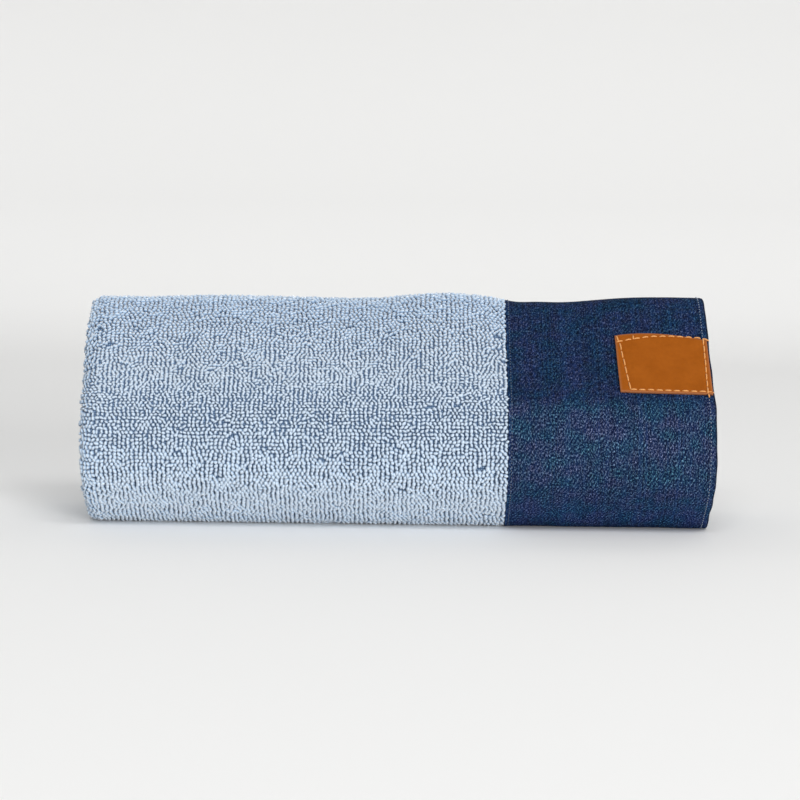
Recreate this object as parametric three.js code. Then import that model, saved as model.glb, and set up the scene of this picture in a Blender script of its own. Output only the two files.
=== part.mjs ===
// Bath towel rolled up for a shelf. One terry cloth is folded in quarters along its length and
// wound across its width. A denim band is sewn over the outer end of the cloth, and a leather
// patch is sewn on the band.
// Millimetres. +X runs along the roll to the denim end, +Z is up, the front of the roll faces -Y,
// and the origin lies on the surface under the middle of the roll.

import * as THREE from "three";

// Cloth: 1400 long, so a quarter of it is the length of the roll.
const ROLL_LENGTH = 350;
const LAYER = 3.7; // terry with the pile of both faces
const LAYER_GAP = 0.5;
const LAYERS = 4;
const TURN_GAP = 0.7;
const HEM_INSET = 5; // the plain end of the cloth stops this far short of the denim end
const FOLD_INSET = 4; // and so does the fold beside it

// Folds, as far as each rounds out past the straight part of its layers.
const LEFT_FOLD = 9;
const RIGHT_FOLD = 5;
const TIGHT_FOLD = 1.1; // inside a fold of two layers
const FOLD_SQUARE = 0.65; // below 1, the folds are squarer than an ellipse
const FOLD_OVERHANG = 1.5; // the left folds stand out past the length of the roll by this much
const FOLD_STEPS = { wide: 9, wideInside: 5, pair: 4, tight: 2 };

// Roll
const CENTRE = { y: 4, z: 58 };
const NOMINAL_RADIUS = 68; // a layer is at its stated thickness at this radius
const TURNS = 2.98;
const TAPER = 0.036; // the plain end is thinner than the denim end by this share
const CORE_SLIP = 3; // the core stands out of the roll at the plain end by this much
const TOP_LEAN = 2.6; // and the top of the plain end leans out by this much
const SQUARE_END = 0.12; // share of the outer turn over which the free end of the stack is squared
const STEPS_IN_TURN = [40, 20, 20];

// Outer face of the outer turn at the denim end, from the free edge of the cloth on the surface,
// under the roll, up the front, over the top and down the back.
const OUTER_TURN = [
  { y: 52, z: 0 },
  { y: 26, z: 0 },
  { y: -2, z: 0 },
  { y: -27, z: 0 },
  { y: -43, z: 10.5 },
  { y: -56, z: 22 },
  { y: -62.5, z: 34 },
  { y: -62.3, z: 50 },
  { y: -59, z: 64.5 },
  { y: -51.5, z: 74.5 },
  { y: -41, z: 83.5 },
  { y: -28, z: 95.5 },
  { y: -14, z: 109.5 },
  { y: 0, z: 122.2 },
  { y: 10, z: 128 },
  { y: 24, z: 126.8 },
  { y: 42, z: 115 },
  { y: 55, z: 97 },
  { y: 62, z: 75 },
  { y: 62.5, z: 52 },
  { y: 56, z: 28 },
];

// Soft swells and dents of the outer face. Bearings are in degrees: 0 is the front, 90 the top.
const SWELLS = [
  { x: -168, bearing: 88, rise: 1.9, alongX: 30, alongBearing: 40 },
  { x: -150, bearing: 40, rise: -1.2, alongX: 30, alongBearing: 40 },
  { x: -105, bearing: 85, rise: 2.7, alongX: 40, alongBearing: 45 },
  { x: -58, bearing: 85, rise: 0.9, alongX: 26, alongBearing: 45 },
  { x: -22, bearing: 85, rise: 0.1, alongX: 30, alongBearing: 45 },
  { x: -60, bearing: 10, rise: 1.2, alongX: 55, alongBearing: 25 },
  { x: 24, bearing: 80, rise: 4.2, alongX: 30, alongBearing: 50 },
  { x: 67, bearing: 85, rise: -1.5, alongX: 10, alongBearing: 70 },
  { x: 92, bearing: 85, rise: -2.2, alongX: 26, alongBearing: 50 },
  { x: 138, bearing: 85, rise: 0.9, alongX: 24, alongBearing: 40 },
  { x: 172, bearing: 88, rise: 0.4, alongX: 24, alongBearing: 40 },
  { x: -90, bearing: 190, rise: 1.5, alongX: 50, alongBearing: 35 },
  { x: 60, bearing: 165, rise: -1.2, alongX: 40, alongBearing: 35 },
];
const SWELL_ENDS = 0.8; // share of the outer turn from which the swells fade to its end

// Denim band, turned over the end of the cloth
const BAND_WIDTH = 115;
const BAND_THICKNESS = 1.2;
const BAND_STATIONS = [60, 84, 104, 122, 140, 157, 172]; // places along X where the face may bend

// Leather patch, on the band under the top of the roll
const PATCH = { width: 51.5, endInset: 1.4, thickness: 1.6, lowEdge: 76.8, highEdge: 105.6 };
const PATCH_RISE = { lowEdge: 0.8, highEdge: 2.4 }; // how much higher each edge is at its left end
const PATCH_SEAT = 0.45; // radial, so that the patch clears the slanted face of the band

const CLEARANCE = 0.5; // between sewn pieces, a little less where the roll is narrow
const TERRY_STATIONS = [-140, -105, -64, -22, 8, 32, 50]; // places along X where the face may bend

const TERRY_BLUE = { color: 0x9fb3cb, roughness: 0.95, metalness: 0 };
const DENIM_BLUE = { color: 0x24385f, roughness: 0.85, metalness: 0 };
const TAN_LEATHER = { color: 0xa65d1c, roughness: 0.55, metalness: 0 };

const stack = LAYERS * LAYER + (LAYERS - 1) * LAYER_GAP;
const pitch = stack + TURN_GAP;
const endX = ROLL_LENGTH / 2;
const bandX = endX - BAND_WIDTH;
const recess = BAND_THICKNESS + CLEARANCE;
const layerTop = (layer) => layer * (LAYER + LAYER_GAP);
const layerFoot = (layer) => layerTop(layer) + LAYER;

// Share of the full size that is left after some turns and some depth into the stack.
const shrink = (turns, depth) => 1 - (pitch * turns + depth) / NOMINAL_RADIUS;

// Stations round the outer turn: each has its bearing, and the radius that its ray would have with
// no winding, so that every layer is a smaller copy of the same outline.
function outerStations() {
  const fullTurn = 2 * Math.PI;
  const bearingOf = (spot) => Math.atan2(spot.z - CENTRE.z, CENTRE.y - spot.y);
  const start = bearingOf(OUTER_TURN[0]);
  const turnsTo = (spot) => THREE.MathUtils.euclideanModulo(bearingOf(spot) - start, fullTurn) / fullTurn;
  const unwound = OUTER_TURN.map((spot) => {
    const kept = shrink(turnsTo(spot), 0);
    const y = CENTRE.y + (spot.y - CENTRE.y) / kept;
    const z = CENTRE.z + (spot.z - CENTRE.z) / kept;
    return new THREE.Vector3(0, y, z);
  });
  const outline = new THREE.CatmullRomCurve3(unwound, true, "catmullrom", 0.5);
  const spots = outline.getSpacedPoints(STEPS_IN_TURN[0]).slice(0, -1);
  return spots.map((spot, index) => {
    const turns = index === 0 ? 0 : turnsTo(spot);
    const bearing = start + turns * fullTurn;
    const radius = Math.hypot(spot.y - CENTRE.y, spot.z - CENTRE.z);
    const dropToSurface = CENTRE.z / shrink(turns, 0);
    const toSurface = Math.sin(bearing) < 0 ? dropToSurface / -Math.sin(bearing) : Infinity;
    return { bearing, turns, radius: Math.min(radius, toSurface) };
  });
}

const outer = outerStations();

// Stations along the whole winding, with fewer of them in the inner turns.
function windingStations() {
  const stations = [];
  STEPS_IN_TURN.forEach((steps, turn) => {
    const stride = STEPS_IN_TURN[0] / steps;
    for (let step = 0; step < steps; step += 1) {
      const place = outer[step * stride];
      const turns = place.turns + turn;
      if (turns <= TURNS) stations.push({ ...place, turns });
    }
  });
  return stations;
}

// Height of the swells at a place on the outer face, none further in.
function swellAt(x, station, depth) {
  if (depth > recess || station.turns >= 1) return 0;
  const degrees = THREE.MathUtils.radToDeg(station.bearing);
  const fade = 1 - THREE.MathUtils.smoothstep(station.turns, SWELL_ENDS, 1);
  const bell = (offset, spread) => Math.exp(-((offset / spread) ** 2));
  return SWELLS.reduce((sum, swell) => {
    const rise = swell.rise * bell(x - swell.x, swell.alongX);
    return sum + fade * rise * bell(degrees - swell.bearing, swell.alongBearing);
  }, 0);
}

// A point of the winding: x along the roll, and a depth into the stack from its outer face. Near the
// free edge the layers lie flat and end above each other.
function windingPoint(station, x, depth) {
  const radius = station.radius * shrink(station.turns, depth) + swellAt(x, station, depth);
  const faceRadius = station.radius * shrink(station.turns, 0);
  const square = 1 - THREE.MathUtils.smoothstep(station.turns, 0, SQUARE_END);
  const reach = THREE.MathUtils.lerp(radius, faceRadius, square);
  const y = CENTRE.y - reach * Math.cos(station.bearing);
  const z = CENTRE.z + radius * Math.sin(station.bearing);
  const size = 1 - (TAPER * (endX - x)) / ROLL_LENGTH;
  const slip = CORE_SLIP * (station.turns / TURNS) ** 2;
  const toTop = (1 + Math.sin(station.bearing)) / 2;
  const lean = TOP_LEAN * toTop ** 2 * ((endX - x) / ROLL_LENGTH) ** 4;
  return new THREE.Vector3(x - slip - lean, y * size, Math.max(z, 0) * size);
}

// Points of a fold between two depths, rounding out from x by a reach to the left (-) or right (+).
function foldPoints(x, fromDepth, toDepth, reach, steps) {
  const middle = (fromDepth + toDepth) / 2;
  const half = (toDepth - fromDepth) / 2;
  return Array.from({ length: steps + 1 }, (_, step) => {
    const angle = (Math.PI * step) / steps - Math.PI / 2;
    const out = Math.max(Math.cos(angle), 0) ** FOLD_SQUARE;
    const across = Math.sign(angle) * Math.abs(Math.sin(angle)) ** FOLD_SQUARE;
    return { x: x + reach * out, depth: middle + half * across };
  });
}

// Outline of the folded cloth across its stack. The outer layer ends in the denim band, wraps the
// other three at the left, turns back at the right and at the left again, and ends in a plain hem.
function terryOutline() {
  const leftX = -endX + LEFT_FOLD - FOLD_OVERHANG;
  const rightX = endX - FOLD_INSET - RIGHT_FOLD;
  const hemX = endX - HEM_INSET;
  const bandEndX = endX - BAND_THICKNESS - CLEARANCE;
  const outerReach = LEFT_FOLD - LAYER;
  const innerReach = outerReach - LAYER_GAP;
  const underBand = [...BAND_STATIONS, bandEndX].map((x) => ({ x, depth: recess })).reverse();
  const openFace = [bandX, ...TERRY_STATIONS.toReversed()].map((x) => ({ x, depth: 0 }));
  return [
    ...underBand,
    ...openFace,
    ...foldPoints(leftX, layerTop(0), layerFoot(3), -LEFT_FOLD, FOLD_STEPS.wide),
    ...foldPoints(rightX, layerFoot(3), layerTop(2), RIGHT_FOLD, FOLD_STEPS.pair),
    ...foldPoints(leftX, layerTop(2), layerFoot(1), -TIGHT_FOLD, FOLD_STEPS.tight),
    { x: hemX, depth: layerFoot(1) },
    { x: hemX, depth: layerTop(1) },
    ...foldPoints(leftX, layerTop(1), layerFoot(2), -innerReach, FOLD_STEPS.pair),
    ...foldPoints(rightX, layerFoot(2), layerTop(3), TIGHT_FOLD, FOLD_STEPS.tight),
    ...foldPoints(leftX, layerTop(3), layerFoot(0), -outerReach, FOLD_STEPS.wideInside),
    { x: bandEndX, depth: layerFoot(0) },
  ];
}

// Outline of the denim band: its face, and the edge turned in over the end of the outer layer.
function bandOutline() {
  const seamX = bandX + CLEARANCE;
  const face = [seamX, ...BAND_STATIONS.slice(1)];
  const innerX = endX - BAND_THICKNESS;
  return [
    ...face.map((x) => ({ x, depth: BAND_THICKNESS })),
    { x: innerX, depth: BAND_THICKNESS },
    { x: innerX, depth: layerFoot(0) },
    { x: endX, depth: layerFoot(0) },
    { x: endX, depth: BAND_THICKNESS / 2 },
    ...face.toReversed().map((x) => ({ x, depth: 0 })),
  ];
}

// A closed geometry from rings of points, each ring as long as the last, and the two ends' triangles.
function ringGeometry(rings, capTriangles) {
  const count = rings[0].length;
  const index = [];
  for (let ring = 0; ring < rings.length - 1; ring += 1) {
    for (let spot = 0; spot < count; spot += 1) {
      const next = (spot + 1) % count;
      const [a, b] = [ring * count + spot, ring * count + next];
      index.push(a, b, b + count, a, b + count, a + count);
    }
  }
  const lastRing = (rings.length - 1) * count;
  capTriangles.forEach(([a, b, c]) => {
    index.push(a, c, b, lastRing + a, lastRing + b, lastRing + c);
  });
  return new THREE.BufferGeometry().setFromPoints(rings.flat()).setIndex(index);
}

// An outline across the stack, carried along the whole winding.
function woundGeometry(outline) {
  const ring = outline.toReversed();
  const flat = ring.map((point) => new THREE.Vector2(point.x, point.depth));
  const caps = THREE.ShapeUtils.triangulateShape(flat, []);
  const rings = windingStations().map((station) =>
    ring.map((point) => windingPoint(station, point.x, point.depth)),
  );
  return ringGeometry(rings, caps);
}

// The patch lies over the flats of the band, bending where the band bends.
function patchGeometry() {
  const rightX = endX - PATCH.endInset;
  const leftX = rightX - PATCH.width;
  const bends = BAND_STATIONS.filter((x) => x > leftX && x < rightX);
  const columns = [leftX, ...bends, rightX];
  const faces = outer.map((station) => windingPoint(station, rightX, 0));
  const front = outer.findIndex((station) => station.bearing > 0);
  const spotAt = (height) => {
    const above = faces.findIndex((point, index) => index >= front && point.z > height);
    return above - 1 + (height - faces[above - 1].z) / (faces[above].z - faces[above - 1].z);
  };
  const pointAt = (spot, x, lift) => {
    const below = Math.floor(spot);
    const low = windingPoint(outer[below], x, -lift);
    return low.lerp(windingPoint(outer[below + 1], x, -lift), spot - below);
  };
  const [lowSpot, highSpot] = [spotAt(PATCH.lowEdge), spotAt(PATCH.highEdge)];
  const spotPerHeight = (highSpot - lowSpot) / (PATCH.highEdge - PATCH.lowEdge);
  const lowRise = PATCH_RISE.lowEdge * spotPerHeight;
  const highRise = PATCH_RISE.highEdge * spotPerHeight;
  const rows = [];
  for (let spot = Math.ceil(lowSpot + lowRise); spot < highSpot; spot += 1) rows.push(spot);
  const rings = columns.map((x) => {
    const toLeft = (rightX - x) / PATCH.width;
    const spots = [lowSpot + lowRise * toLeft, ...rows, highSpot + highRise * toLeft];
    const back = spots.map((spot) => pointAt(spot, x, PATCH_SEAT));
    const face = spots.map((spot) => pointAt(spot, x, PATCH_SEAT + PATCH.thickness));
    return [...back, ...face.reverse()];
  });
  const count = rings[0].length;
  const caps = [];
  for (let spot = 0; spot < count / 2 - 1; spot += 1) {
    const across = count - 1 - spot;
    caps.push([spot, spot + 1, across - 1], [spot, across - 1, across]);
  }
  return ringGeometry(rings, caps);
}

function sewnPiece(name, geometry, finish) {
  geometry.computeVertexNormals();
  const piece = new THREE.Mesh(geometry, new THREE.MeshStandardMaterial(finish));
  piece.name = name;
  return piece;
}

const towel = new THREE.Group();
towel.add(
  sewnPiece("terry_cloth", woundGeometry(terryOutline()), TERRY_BLUE),
  sewnPiece("denim_band", woundGeometry(bandOutline()), DENIM_BLUE),
  sewnPiece("leather_patch", patchGeometry(), TAN_LEATHER),
);

// The origin goes under the middle of the whole roll.
const bounds = new THREE.Box3().setFromObject(towel);
const middle = bounds.getCenter(new THREE.Vector3());
towel.position.set(-middle.x, -middle.y, -bounds.min.z);

export default towel;
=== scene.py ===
"""Rolled bath towel: looped terry folded in quarters and rolled, a denim band, a leather patch.

Sizes are in millimetres and angles in degrees, apart from those that Blender takes. The roll's own
X runs along it to the denim end, its front faces -Y, and it lies on z = 0.
"""

from __future__ import annotations

import logging
import math
from dataclasses import dataclass, field
from enum import Enum

import bmesh
import bpy
import numpy as np
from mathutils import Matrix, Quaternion, Vector

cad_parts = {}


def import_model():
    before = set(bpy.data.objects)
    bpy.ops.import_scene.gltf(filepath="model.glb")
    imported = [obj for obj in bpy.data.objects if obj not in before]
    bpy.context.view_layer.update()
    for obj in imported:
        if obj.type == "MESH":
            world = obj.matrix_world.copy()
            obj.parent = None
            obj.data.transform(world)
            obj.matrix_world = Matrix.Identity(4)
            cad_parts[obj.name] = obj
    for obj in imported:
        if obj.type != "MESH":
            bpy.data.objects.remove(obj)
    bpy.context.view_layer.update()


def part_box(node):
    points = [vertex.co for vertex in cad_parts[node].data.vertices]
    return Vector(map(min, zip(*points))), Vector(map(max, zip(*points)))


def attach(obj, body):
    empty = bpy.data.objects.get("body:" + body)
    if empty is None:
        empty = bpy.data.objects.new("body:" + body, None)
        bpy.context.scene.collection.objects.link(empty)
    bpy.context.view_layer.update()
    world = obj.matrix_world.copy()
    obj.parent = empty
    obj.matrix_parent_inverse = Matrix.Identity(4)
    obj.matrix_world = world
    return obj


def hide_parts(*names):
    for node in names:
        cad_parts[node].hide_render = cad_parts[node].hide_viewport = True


LOG = logging.getLogger("towel")
MM = 0.001
FULL_TURN = 2.0 * math.pi
BODY = "root"

Colour = tuple[float, float, float]
Place = tuple[float, float, float]
Socket = bpy.types.NodeSocket


class Slot(Enum):
    """Names of three material slots."""

    TERRY = "terry"
    DENIM = "denim"
    LEATHER = "leather"


def linked(name: str, mesh: bpy.types.Mesh) -> bpy.types.Object:
    """Shades a mesh smooth and puts it into the scene.

    Args:
        name: the piece's name.
        mesh: its mesh.

    Returns:
        The new object.
    """
    mesh.polygons.foreach_set("use_smooth", np.ones(len(mesh.polygons), dtype=bool))
    piece = bpy.data.objects.new(name, mesh)
    bpy.context.scene.collection.objects.link(piece)
    return piece


def keep_values(mesh: bpy.types.Mesh, values: dict[str, np.ndarray]) -> None:
    """Keeps a number for each vertex in each named attribute.

    Args:
        mesh: the mesh.
        values: the numbers, in the order of the vertices.
    """
    for title, numbers in values.items():
        attribute = mesh.attributes.new(title, "FLOAT", "POINT")
        attribute.data.foreach_set("value", numbers.astype(np.float32).ravel())


def joined_mesh(
    name: str, points: np.ndarray, quads: np.ndarray, values: dict[str, np.ndarray]
) -> bpy.types.Object:
    """Makes one object of many small shapes with the same faces.

    Args:
        name: the piece's name.
        points: places of the vertices in metres, shapes by vertices by three.
        quads: vertex numbers of the faces of one shape, as rows of four.
        values: a number for each vertex, for each named attribute.

    Returns:
        The new object, smooth shaded.
    """
    count, size = points.shape[:2]
    faces = (quads[None] + (np.arange(count) * size)[:, None, None]).reshape(-1, 4)
    mesh = bpy.data.meshes.new(name)
    mesh.vertices.add(count * size)
    mesh.vertices.foreach_set("co", points.astype(np.float32).ravel())
    mesh.loops.add(faces.size)
    mesh.loops.foreach_set("vertex_index", faces.astype(np.int32).ravel())
    mesh.polygons.add(len(faces))
    mesh.polygons.foreach_set("loop_start", np.arange(0, faces.size, 4, dtype=np.int32))
    mesh.update(calc_edges=True)
    keep_values(mesh, values)
    return linked(name, mesh)


def tube_quads(rings: int, sides: int) -> np.ndarray:
    """Works out the faces of an open tube.

    Args:
        rings: rings of vertices along the tube.
        sides: vertices in a ring.

    Returns:
        Vertex numbers of the faces, as rows of four.
    """
    ring, side = np.divmod(np.arange((rings - 1) * sides), sides)
    this, following = ring * sides, (ring + 1) * sides
    beside = (side + 1) % sides
    return np.stack([this + side, this + beside, following + beside, following + side], axis=1)


def mapped_grid(
    name: str, points: np.ndarray, flat: np.ndarray, values: dict[str, np.ndarray]
) -> bpy.types.Object:
    """Makes a sheet from a grid whose vertices are carried to their places.

    Args:
        name: the piece's name.
        points: places in metres, rows by columns by three.
        flat: the same places on the uncut cloth in metres, rows by columns by two, kept as a UV map.
        values: a number for each place, for each named attribute.

    Returns:
        The new object, smooth shaded.
    """
    rows, columns = points.shape[:2]
    shape = bmesh.new()
    bmesh.ops.create_grid(shape, x_segments=rows - 1, y_segments=columns - 1, size=1.0)
    mesh = bpy.data.meshes.new(name)
    shape.to_mesh(mesh)
    shape.free()
    start = np.empty(len(mesh.vertices) * 3, np.float32)
    mesh.vertices.foreach_get("co", start)
    share = (start.reshape(-1, 3)[:, :2] + 1.0) / 2.0
    row = np.rint(share[:, 0] * (rows - 1)).astype(int)
    column = np.rint(share[:, 1] * (columns - 1)).astype(int)
    mesh.vertices.foreach_set("co", points[row, column].astype(np.float32).ravel())
    corner = np.empty(len(mesh.loops), np.int32)
    mesh.loops.foreach_get("vertex_index", corner)
    layer = mesh.uv_layers.new(name="cloth")
    layer.uv.foreach_set("vector", flat[row, column][corner].astype(np.float32).ravel())
    keep_values(mesh, {title: numbers[row, column] for title, numbers in values.items()})
    mesh.update()
    return linked(name, mesh)


def thicken(piece: bpy.types.Object, thickness: float, offset: float) -> None:
    """Gives a sheet its thickness.

    Args:
        piece: the sheet.
        thickness: in millimetres.
        offset: where the sheet lies in it, from -1, outermost, to 1.
    """
    solid = piece.modifiers.new("thickness", "SOLIDIFY")
    solid.thickness = thickness * MM
    solid.offset = offset
    solid.use_even_offset = True


def triangles(piece: bpy.types.Object) -> int:
    """Counts the triangles of a piece with its modifiers.

    Args:
        piece: the piece.

    Returns:
        The number of triangles.
    """
    shown = piece.evaluated_get(bpy.context.evaluated_depsgraph_get()).to_mesh()
    shown.calc_loop_triangles()
    return len(shown.loop_triangles)


def settle(piece: bpy.types.Object, material: bpy.types.Material) -> bpy.types.Object:
    """Dresses a finished piece, seats it on the towel's body and reports it.

    Args:
        piece: the finished piece.
        material: its finish.

    Returns:
        The same piece.
    """
    piece.data.materials.append(material)
    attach(piece, BODY)
    LOG.info("%s: %d triangles", piece.name, triangles(piece))
    return piece


def unit(vectors: np.ndarray) -> np.ndarray:
    """Returns the vectors, in the last axis, at length one."""
    return vectors / np.linalg.norm(vectors, axis=-1, keepdims=True)


def bell(distance: np.ndarray, width: float) -> np.ndarray:
    """Returns a soft bump, one at no distance and fading out past the width."""
    return np.exp(-((distance / width) ** 2))


def soft_step(share: np.ndarray) -> np.ndarray:
    """Returns a soft step from 0 to 1 over shares from 0 to 1."""
    held = np.clip(share, 0.0, 1.0)
    return held * held * (3.0 - 2.0 * held)


def run_lengths(line: np.ndarray) -> np.ndarray:
    """Returns the length along a line of points up to each of them."""
    return np.concatenate([[0.0], np.cumsum(np.linalg.norm(np.diff(line, axis=0), axis=1))])


def at_lengths(line: np.ndarray, run: np.ndarray, marks: np.ndarray) -> np.ndarray:
    """Returns places on a line at some lengths, where run is the length up to each of its points."""
    return np.stack([np.interp(marks, run, column) for column in line.T], axis=1)


def between(start: float | np.ndarray, end: float | np.ndarray, share: np.ndarray) -> np.ndarray:
    """Returns the places at some shares of the way from a start to an end."""
    return start + (end - start) * share


def uncut(line: np.ndarray, along: np.ndarray) -> np.ndarray:
    """Returns places on the uncut cloth in metres, from its section and its lengths along the winding."""
    return np.stack(np.broadcast_arrays(run_lengths(line)[:, None], along[None, :]), axis=-1) * MM


@dataclass(frozen=True)
class WaveField:
    """A smooth random field over the cloth, made of a few waves."""

    seed: int
    longest: float
    shortest: float
    waves: int = 14

    def __call__(self, across: np.ndarray, along: np.ndarray) -> np.ndarray:
        """Works out the field at places on the cloth.

        Args:
            across: places across the cloth.
            along: places along the cloth.

        Returns:
            The field there, about -1 to 1.
        """
        draw = np.random.default_rng(self.seed)
        total = np.zeros(np.broadcast(across, along).shape)
        for _ in range(self.waves):
            angle, phase = draw.uniform(0.0, FULL_TURN, 2)
            number = FULL_TURN / draw.uniform(self.shortest, self.longest)
            total += np.sin(number * (across * math.cos(angle) + along * math.sin(angle)) + phase)
        return total / math.sqrt(self.waves)


@dataclass(frozen=True)
class OutlinePoint:
    """A point of the roll's outer face: y to the back and z up."""

    y: float
    z: float


@dataclass(frozen=True)
class Swell:
    """A soft swell of the outer face, or a dent where its rise is below zero."""

    x: float
    bearing: float
    rise: float
    along_x: float
    along_bearing: float


@dataclass
class RollShape:
    """The wound form of the folded towel.

    A place in the winding has its turns from the free edge, its x along the roll, and its depth into
    the stack of layers from the outer face. Bearings are 0 at the front and 90 at the top.
    """

    length: float = 350.0
    layer: float = 3.7
    layer_gap: float = 0.5
    layers: int = 4
    turn_gap: float = 0.7
    left_fold: float = 9.0
    fold_square: float = 0.65
    fold_overhang: float = 1.5
    right_fold: float = 5.0
    right_fold_inset: float = 4.0
    plain_end_inset: float = 5.0
    band_width: float = 115.0
    centre: OutlinePoint = OutlinePoint(4.0, 58.0)
    nominal_radius: float = 68.0
    turns: float = 2.95
    taper: float = 0.036
    core_slip: float = 3.0
    top_lean: float = 2.6
    full_slip_turns: float = 2.98
    square_end: float = 0.12
    swell_ends: float = 0.8
    swell_depth: float = 2.8
    curve_steps: int = 60
    winding_steps: int = 6000
    least_fall: float = 0.01
    outline: tuple[OutlinePoint, ...] = tuple(
        OutlinePoint(y, z) for y, z in (
            (52.0, 0.0), (26.0, 0.0), (-2.0, 0.0), (-27.0, 0.0), (-43.0, 10.5), (-56.0, 22.0),
            (-62.5, 34.0), (-62.3, 50.0), (-59.0, 64.5), (-51.5, 74.5), (-41.0, 83.5), (-28.0, 95.5),
            (-14.0, 109.5), (0.0, 122.2), (10.0, 128.0), (24.0, 126.8), (42.0, 115.0), (55.0, 97.0),
            (62.0, 75.0), (62.5, 52.0), (56.0, 28.0),
        )
    )
    swells: tuple[Swell, ...] = (
        Swell(-168.0, 88.0, 1.9, 30.0, 40.0),
        Swell(-150.0, 40.0, -1.2, 30.0, 40.0),
        Swell(-105.0, 85.0, 2.7, 40.0, 45.0),
        Swell(-58.0, 85.0, 0.9, 26.0, 45.0),
        Swell(-22.0, 85.0, 0.1, 30.0, 45.0),
        Swell(-60.0, 10.0, 1.2, 55.0, 25.0),
        Swell(24.0, 80.0, 4.2, 30.0, 50.0),
        Swell(67.0, 85.0, -1.5, 10.0, 70.0),
        Swell(92.0, 85.0, -2.2, 26.0, 50.0),
        Swell(138.0, 85.0, 0.9, 24.0, 40.0),
        Swell(172.0, 88.0, 0.4, 24.0, 40.0),
        Swell(-90.0, 190.0, 1.5, 50.0, 35.0),
        Swell(60.0, 165.0, -1.2, 40.0, 35.0),
    )
    origin: np.ndarray = field(default_factory=lambda: np.zeros(3))

    def __post_init__(self) -> None:
        """Works out the sizes that follow, and the outline's radius for every share of a turn."""
        self.stack = self.layers * self.layer + (self.layers - 1) * self.layer_gap
        self.pitch = self.stack + self.turn_gap
        self.end_x = self.length / 2.0
        self.seam_x = self.end_x - self.band_width
        first = self.outline[0]
        self.start = math.atan2(first.z - self.centre.z, self.centre.y - first.y)
        self.shares, self.radii = self.radius_table()

    def layer_top(self, layer: int) -> float:
        """Returns the depth of a layer's outer face."""
        return layer * (self.layer + self.layer_gap)

    def layer_middle(self, layer: int) -> float:
        """Returns the depth of a layer's middle."""
        return self.layer_top(layer) + self.layer / 2.0

    def shrink(self, turns: np.ndarray, depth: np.ndarray) -> np.ndarray:
        """Returns the share of the full size left after some turns and some depth."""
        return 1.0 - (self.pitch * turns + depth) / self.nominal_radius

    def bearing(self, turns: np.ndarray) -> np.ndarray:
        """Returns the bearing in radians after some turns."""
        return self.start + FULL_TURN * turns

    def turn_steps(self, outer: int, inner: int) -> np.ndarray:
        """Returns turns along the cloth: so many places on the outer turn, and so many further in."""
        return np.concatenate([np.linspace(0.0, 1.0, outer)[:-1], np.linspace(1.0, self.turns, inner)])

    def share_of_turn(self, y: np.ndarray, z: np.ndarray) -> np.ndarray:
        """Returns how far round the first turn a place across the roll lies, from 0 to 1."""
        bearing = np.arctan2(z - self.centre.z, self.centre.y - y)
        return ((bearing - self.start) / FULL_TURN) % 1.0

    def radius_table(self) -> tuple[np.ndarray, np.ndarray]:
        """Works out the closed curve through the outline, with its winding taken out.

        Returns:
            The shares of a turn, rising, and the radius at each.
        """
        spots = np.array([(point.y, point.z) for point in self.outline])
        middle = np.array([self.centre.y, self.centre.z])
        shares = self.share_of_turn(spots[:, 0], spots[:, 1])
        shares[0] = 0.0
        unwound = middle + (spots - middle) / self.shrink(shares, 0.0)[:, None]
        step = np.linspace(0.0, 1.0, self.curve_steps, endpoint=False)[None, :, None]
        here, following = unwound[:, None], np.roll(unwound, -1, axis=0)[:, None]
        slope = ((np.roll(unwound, -1, axis=0) - np.roll(unwound, 1, axis=0)) / 2.0)[:, None]
        next_slope = np.roll(slope, -1, axis=0)
        square = 3.0 * (following - here) - 2.0 * slope - next_slope
        cube = 2.0 * (here - following) + slope + next_slope
        curve = (here + slope * step + square * step**2 + cube * step**3).reshape(-1, 2)
        shares = self.share_of_turn(curve[:, 0], curve[:, 1])
        shares[0] = 0.0
        radii = np.hypot(*(curve - middle).T)
        fall = -np.sin(self.bearing(shares))
        drop = self.centre.z / self.shrink(shares, 0.0)
        to_surface = np.where(fall > self.least_fall, drop / np.maximum(fall, self.least_fall), np.inf)
        order = np.argsort(shares)
        return shares[order], np.minimum(radii, to_surface)[order]

    def swell(self, turns: np.ndarray, x: np.ndarray, depth: np.ndarray) -> np.ndarray:
        """Works out how far the outer face stands out.

        Args:
            turns: turns from the free edge.
            x: places along the roll.
            depth: depths into the stack from its outer face.

        Returns:
            The rise at each place.
        """
        degrees = np.degrees(self.bearing(turns))
        total = np.zeros(np.broadcast(turns, x, depth).shape)
        for each in self.swells:
            near = bell(x - each.x, each.along_x) * bell(degrees - each.bearing, each.along_bearing)
            total = total + each.rise * near
        fade = 1.0 - soft_step((turns - self.swell_ends) / (1.0 - self.swell_ends))
        return total * fade * (depth <= self.swell_depth) * (turns < 1.0)

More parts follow.
